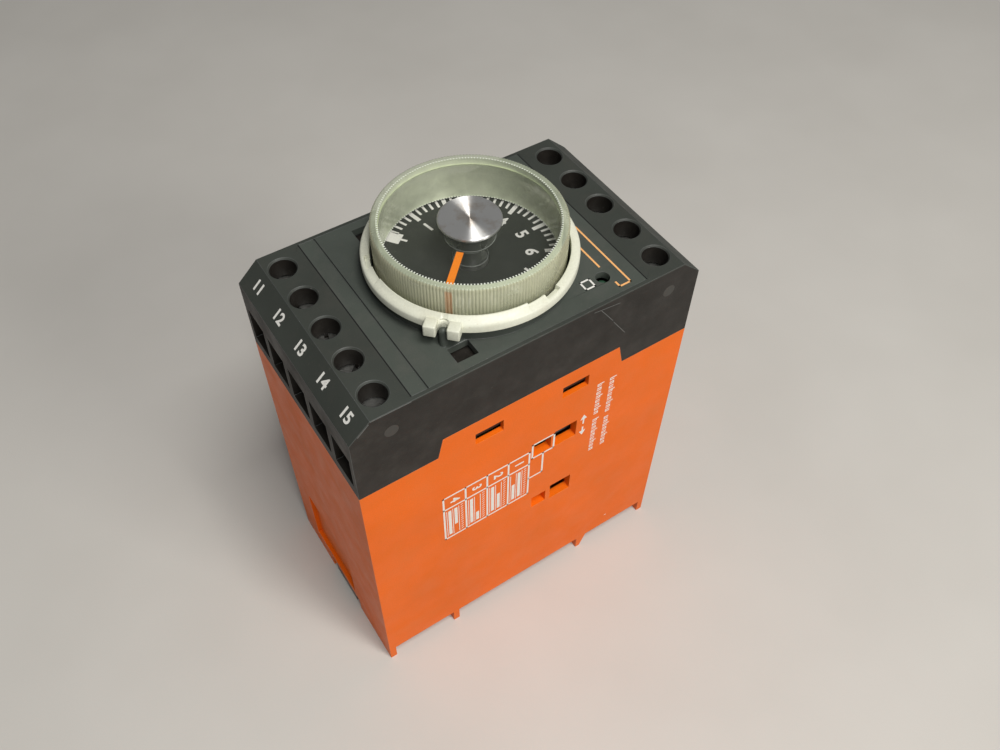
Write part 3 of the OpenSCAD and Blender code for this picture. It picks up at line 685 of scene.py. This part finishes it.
def make_dial():
    edge = 0.15 * MM
    hole = 3.5 * MM
    profile = plain([
        (hole, face_z), (dial_r, face_z), (dial_r, dial_z - edge), (dial_r - edge, dial_z),
        (hole + edge, dial_z), (hole, dial_z - edge)
    ])
    plate = add_mesh("scale_plate", revolve(profile, DISC_STEPS), "housing", [DIAL], 30)
    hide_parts("dial_plate")
    bm = bmesh.new()
    for k in range(UNITS * PARTS + 1):
        angle = math.radians(SCALE_START - k * UNIT_ANGLE / PARTS)
        outwards, onwards = (math.cos(angle), math.sin(angle), 0), (-math.sin(angle), math.cos(angle), 0)
        sheet = Sheet((0, 0, dial_z), outwards, onwards)
        length, width = (3.0, 0.85) if k % PARTS == 0 else (1.9, 0.5)
        if k in (0, UNITS * PARTS):
            sheet.box(bm, SCALE_R - 4.3, SCALE_R - 3.0, -0.25, 0.25)
            width = 2.7
        sheet.box(bm, SCALE_R - length, SCALE_R, -width / 2, width / 2)
    add_mesh("scale_ticks", bm, "housing", [WHITE_INK], None)
    for k in range(1, UNITS + 1):
        angle = math.radians(SCALE_START - k * UNIT_ANGLE)
        outwards, onwards = (math.cos(angle), math.sin(angle), 0), (math.sin(angle), -math.cos(angle), 0)
        sheet = Sheet((0, 0, dial_z), onwards, outwards)
        add_text(f"scale_number_{k}", str(k), sheet, 0, NUMBER_R, 3.4)


# ---- Printing ----


def make_face_print():
    """Orange lines by the lamp, a small outline mark, and the terminal numbers at the -X end."""
    plate = Sheet((0, 0, face_z), (1, 0, 0), (0, 1, 0))
    bm = bmesh.new()
    plate.path(bm, [(22.4, -3), (22.4, -20.4), (19.9, -20.4), (19.9, -19.2)], 0.38)
    plate.path(bm, [(19.7, -7.9), (19.7, -14.2)], 0.38)
    add_mesh("lamp_lines", bm, "housing", [ORANGE_INK], None)
    bm = bmesh.new()
    plate.path(bm, [(14.1, -15.8), (16.1, -15.8), (16.1, -17.8), (14.1, -17.8), (14.1, -15.8)], 0.35)
    add_mesh("lamp_mark", bm, "housing", [WHITE_INK], None)
    slope = Vector((CHAMFER_X, 0, CHAMFER_Z)).normalized()
    for k in range(1, 6):
        y = sum(v.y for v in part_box(f"terminal_screw_{k}")) / 2
        left = Sheet((-half_l + CHAMFER_X / 2 * MM, y, face_z - CHAMFER_Z / 2 * MM), (0, -1, 0), slope)
        add_text(f"terminal_number_{k}", str(10 + k), left, 0.2, 0, 3.2)


def make_side_print():
    """Frame round the label window, its leader line, the function table and the two arrows."""
    side = Sheet((0, side_y, 0), (1, 0, 0), (0, 0, 1))
    line = 0.42
    bm = bmesh.new()
    side.path(bm, [(0.4, 54.8), (5.85, 54.8), (5.85, 59.7), (0.4, 59.7), (0.4, 54.8)], line)
    side.path(bm, [(3.2, 54.8), (3.2, 47.6), (-0.3, 47.6)], line)
    left, right, low, high, header = -21.25, -0.3, 41.6, 57.7, 53.3
    columns = 4
    pitch = (right - left) / columns
    for k in range(columns + 1):
        side.line(bm, left + k * pitch, low, left + k * pitch, high, line)
    for z in (low, header, high):
        side.line(bm, left, z, right, z, line)
    arrow_x = 13.4
    for tail, tip in ((57.6, 60.8), (56.5, 53.6)):
        way = 1 if tip > tail else -1
        neck = tip - way * 1.5
        side.box(bm, 13.2, 13.6, min(tail, neck), max(tail, neck))
        side.polygon(bm, [(arrow_x - way * 0.85, neck), (arrow_x + way * 0.85, neck), (arrow_x, tip)])
    # Two columns of plain strokes
    for a, gap in ((16.0, 8), (19.2, 9)):
        for k in range(18):
            b = 69.2 - 1.36 * k
            if k != gap:
                side.box(bm, a, a + (1.7 if k % 3 == 0 else 1.15), b - 0.28, b)
                side.box(bm, a, a + 1.15, b - 0.85, b - 0.6)
                side.box(bm, a + (0.9 if k % 2 else 0), a + (1.15 if k % 2 else 0.25), b - 0.6, b - 0.28)
    side.box(bm, 24.9, 25.4, 8.4, 8.7)
    add_mesh("table_lines", bm, "housing", [WHITE_INK], None)
    make_diagrams(side, left, pitch, low, header)
    turned = Sheet((0, side_y, 0), (0, 0, -1), (1, 0, 0))
    for k in range(columns):
        middle = left + (k + 0.5) * pitch
        add_text(f"table_number_{k + 1}", str(columns - k), turned, -(header + high) / 2, middle, 3.0)


def make_diagrams(side, left, pitch, low, header):
    """Timing bars in the table: each column has a supply bar, an output bar and a scale of small ticks."""
    bm = bmesh.new()
    patterns = [
        [(0.05, 0.95), (0.35, 0.95)], [(0.05, 0.95), (0.05, 0.35), (0.6, 0.95)],
        [(0.05, 0.95), (0.05, 0.6)], [(0.05, 0.6), (0.05, 0.95)]
    ]
    height = header - low - 1.2
    for k, bars in enumerate(patterns):
        start = left + k * pitch + 0.95
        for row, (first, last) in enumerate(bars[:2]):
            a = start + row * 1.45
            side.box(bm, a, a + 0.75, low + 0.6 + first * height, low + 0.6 + last * height)
        for row in range(3):
            a = start - 0.35 + row * 1.45
            side.line(bm, a, low + 0.8, a, header - 1.0, 0.16)
        for tick in range(12):
            b = low + 1.0 + tick * height / 12
            side.line(bm, start + 3.1, b, start + 3.5, b + 0.25, 0.18)
    add_mesh("table_bars", bm, "housing", [WHITE_INK], None)


def make_scuffs():
    """Scratches and edge wear on the cover's side, the front plate's seams and the ejector marks."""
    side = Sheet((0, side_y, 0), (1, 0, 0), (0, 0, 1))
    bm = bmesh.new()
    for a0, b0, a1, b1 in ((14.2, 92.6, 17.4, 88.0), (17.8, 87.2, 21.0, 82.4), (12.6, 92.9, 18.6, 92.1)):
        side.line(bm, a0, b0, a1, b1, 0.13)
    for a0, b0, a1, b1 in ((-33.7, 93.78, -26.0, 93.78), (-36.4, 91.3, -34.2, 93.3)):
        side.line(bm, a0, b0, a1, b1, 0.2)
    add_mesh("cover_scuffs", bm, "housing", [SCUFF], None)
    top = Sheet((0, 0, face_z), (1, 0, 0), (0, 1, 0))
    bm = bmesh.new()
    for a in (-25.5, 25.3):
        top.box(bm, a - 0.11, a + 0.11, -21.7, 21.7)
    add_mesh("plate_seams", bm, "housing", [SEAM], None)
    bm = bmesh.new()
    for a, b in ((-30.2, 88.6), (31.0, 88.3)):
        turns = [math.pi * k / 12 for k in range(24)]
        side.polygon(bm, [(a + 1.4 * math.cos(turn), b + 1.4 * math.sin(turn)) for turn in turns])
    add_mesh("ejector_marks", bm, "housing", [PIN_MARK], None)


# ---- Latch spring ----


def make_spring():
    """A copy of the latch spring, with a mesh of its own."""
    source = frame["nodes"]["latch_spring"]
    bm = bmesh.new()
    bm.from_mesh(source.data)
    piece = add_mesh("rail_latch_spring", bm, source["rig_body"], [STEEL])
    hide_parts("latch_spring")
    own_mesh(piece)


# ---- Finishes of the CAD nodes that stay ----


def finish_nodes():
    finishes = {
        "pointer_line": POINTER, "pot_case": TIN, "pot_track": PHENOLIC, "pot_shaft": SHAFT,
        "indicator_lamp": LAMP, "top_board": BOARD, "main_board": BOARD, "board_link": PARTS_BLACK,
        "function_wheel": WHEEL, "function_wheel_frame": FRAME_GREY, "transformer_core": TIN,
        "transformer_bobbin": PARTS_BLACK, "transformer_winding": WOUND, "mains_capacitor": FILM_YELLOW,
        "smoothing_capacitors": SLEEVE_BLUE, "logic_chips": PARTS_BLACK, "resistors": CERAMIC_TAN,
        "varistor": SLEEVE_BLUE, "contact_bars": BRASS, "rail_latch": LATCH
    }
    for k in (1, 2):
        finishes[f"relay_{k}_base"] = PARTS_BLACK
        finishes[f"relay_{k}_coil"] = WOUND
        finishes[f"relay_{k}_yoke"] = TIN
        finishes[f"relay_{k}_armature"] = TIN
        finishes[f"relay_{k}_case"] = RELAY_BLUE
    for k in range(1, 11):
        finishes[f"terminal_screw_{k}"] = STEEL
        finishes[f"clamp_cage_{k}"] = STEEL
    for node, material in finishes.items():
        mesh = frame["nodes"][node].data
        mesh.materials.clear()
        mesh.materials.append(material)


# ---- Floor and light ----


def make_floor():
    bm = bmesh.new()
    bmesh.ops.create_grid(bm, x_segments=1, y_segments=1, size=1.5)
    mesh = bpy.data.meshes.new("floor")
    bm.to_mesh(mesh)
    bm.free()
    floor = bpy.data.objects.new("floor", mesh)
    paint = Paint("pale_floor")
    tone = paint.mix(paint.ramp(paint.noise(60, 3), 0.3, 0.7), (0.62, 0.60, 0.56), (0.58, 0.56, 0.52))
    mesh.materials.append(paint.finish(tone, 0.7, paint.noise(0.6), 0.02))
    bpy.context.scene.collection.objects.link(floor)


def add_light(name, place, aim, size, power, colour):
    data = bpy.data.lights.new(name, "AREA")
    data.size = size
    data.energy = power
    data.color = colour
    light = bpy.data.objects.new(name, data)
    light.location = place
    light.rotation_euler = (Vector(aim) - Vector(place)).to_track_quat("-Z", "Y").to_euler()
    bpy.context.scene.collection.objects.link(light)


def make_lights():
    middle = (0, 0, 0.06)
    add_light("key", (0.22, -0.62, 0.48), middle, 0.22, 2.0, (1.0, 0.97, 0.92))
    add_light("top", (0.02, -0.33, 0.85), middle, 0.28, 4.8, (1.0, 0.98, 0.95))
    add_light("flash", (-0.13, -0.36, 0.55), middle, 0.06, 0.7, (1.0, 1.0, 1.0))
    world = bpy.data.worlds.new("studio")
    world.use_nodes = True
    background = world.node_tree.nodes["Background"]
    background.inputs["Color"].default_value = (0.9, 0.92, 0.95, 1)
    background.inputs["Strength"].default_value = 0.10
    bpy.context.scene.world = world
    bpy.context.scene.view_settings.view_transform = "Standard"


make_camera()
make_floor()
make_lights()
make_housing()
make_ring()
make_knob()
make_disc()
make_dial()
make_face_print()
make_side_print()
make_scuffs()
make_spring()
finish_nodes()
